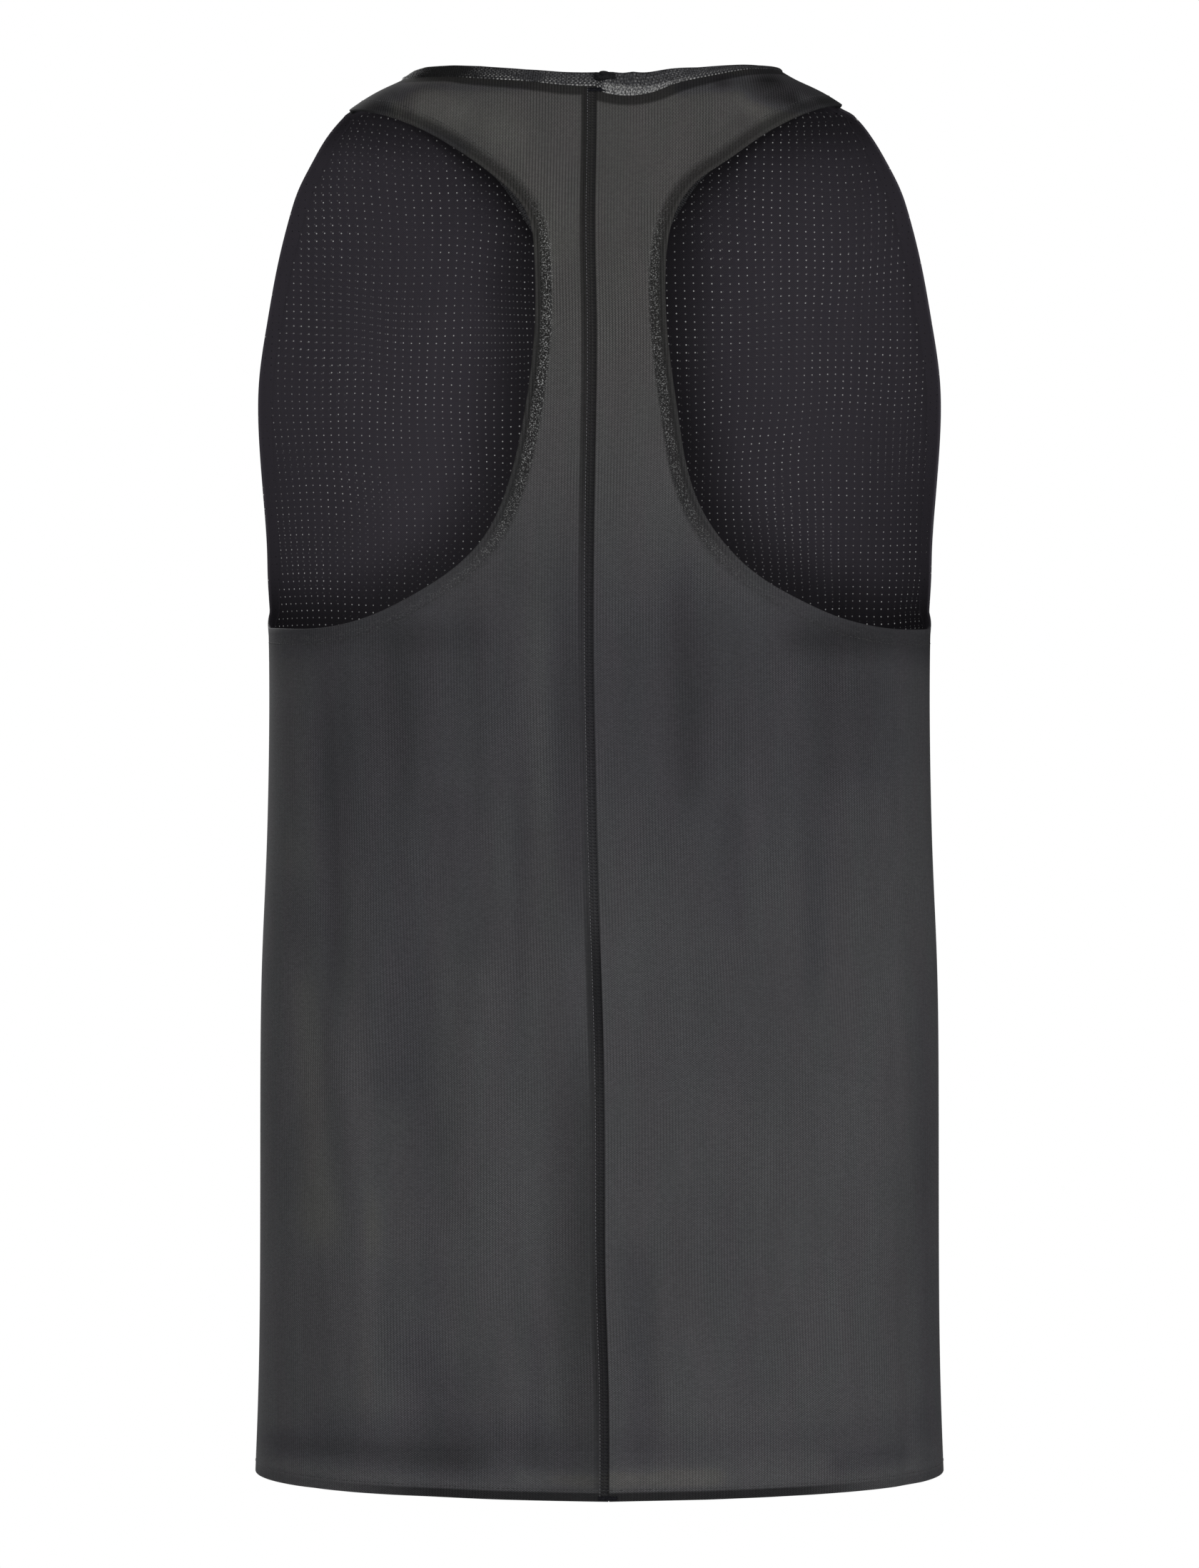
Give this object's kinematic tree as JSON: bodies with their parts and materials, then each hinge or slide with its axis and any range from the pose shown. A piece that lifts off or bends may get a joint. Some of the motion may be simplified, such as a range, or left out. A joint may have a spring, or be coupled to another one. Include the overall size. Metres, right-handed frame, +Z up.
{
  "type": "running singlet",
  "caption": "Sleeveless racerback running singlet in dark eyelet knit, with a seamed sheer mesh back and a narrow neckband, filled out as worn with no wearer.",
  "frame": {"origin": "midway between the high points of the two shoulders, on the line that joins them, where the wearer carries the singlet", "axes": "+Z up along the wearer's spine; -Y out of the garment's front and +Y out of its back; +X to the garment's own left side"},
  "size_m": [0.3438, 0.2324, 0.6975],
  "materials": {
    "front_panel": "matt dark knit with open eyelets",
    "back_panel_left": "sheer dark mesh, matt with a faint sheen",
    "back_panel_right": "sheer dark mesh, matt with a faint sheen",
    "neckband": "matt dark knit, doubled"
  },
  "bodies": {
    "root": {"front_panel": "front_panel", "back_panel_left": "back_panel_left", "back_panel_right": "back_panel_right", "neckband": "neckband"}
  },
  "joints": []
}
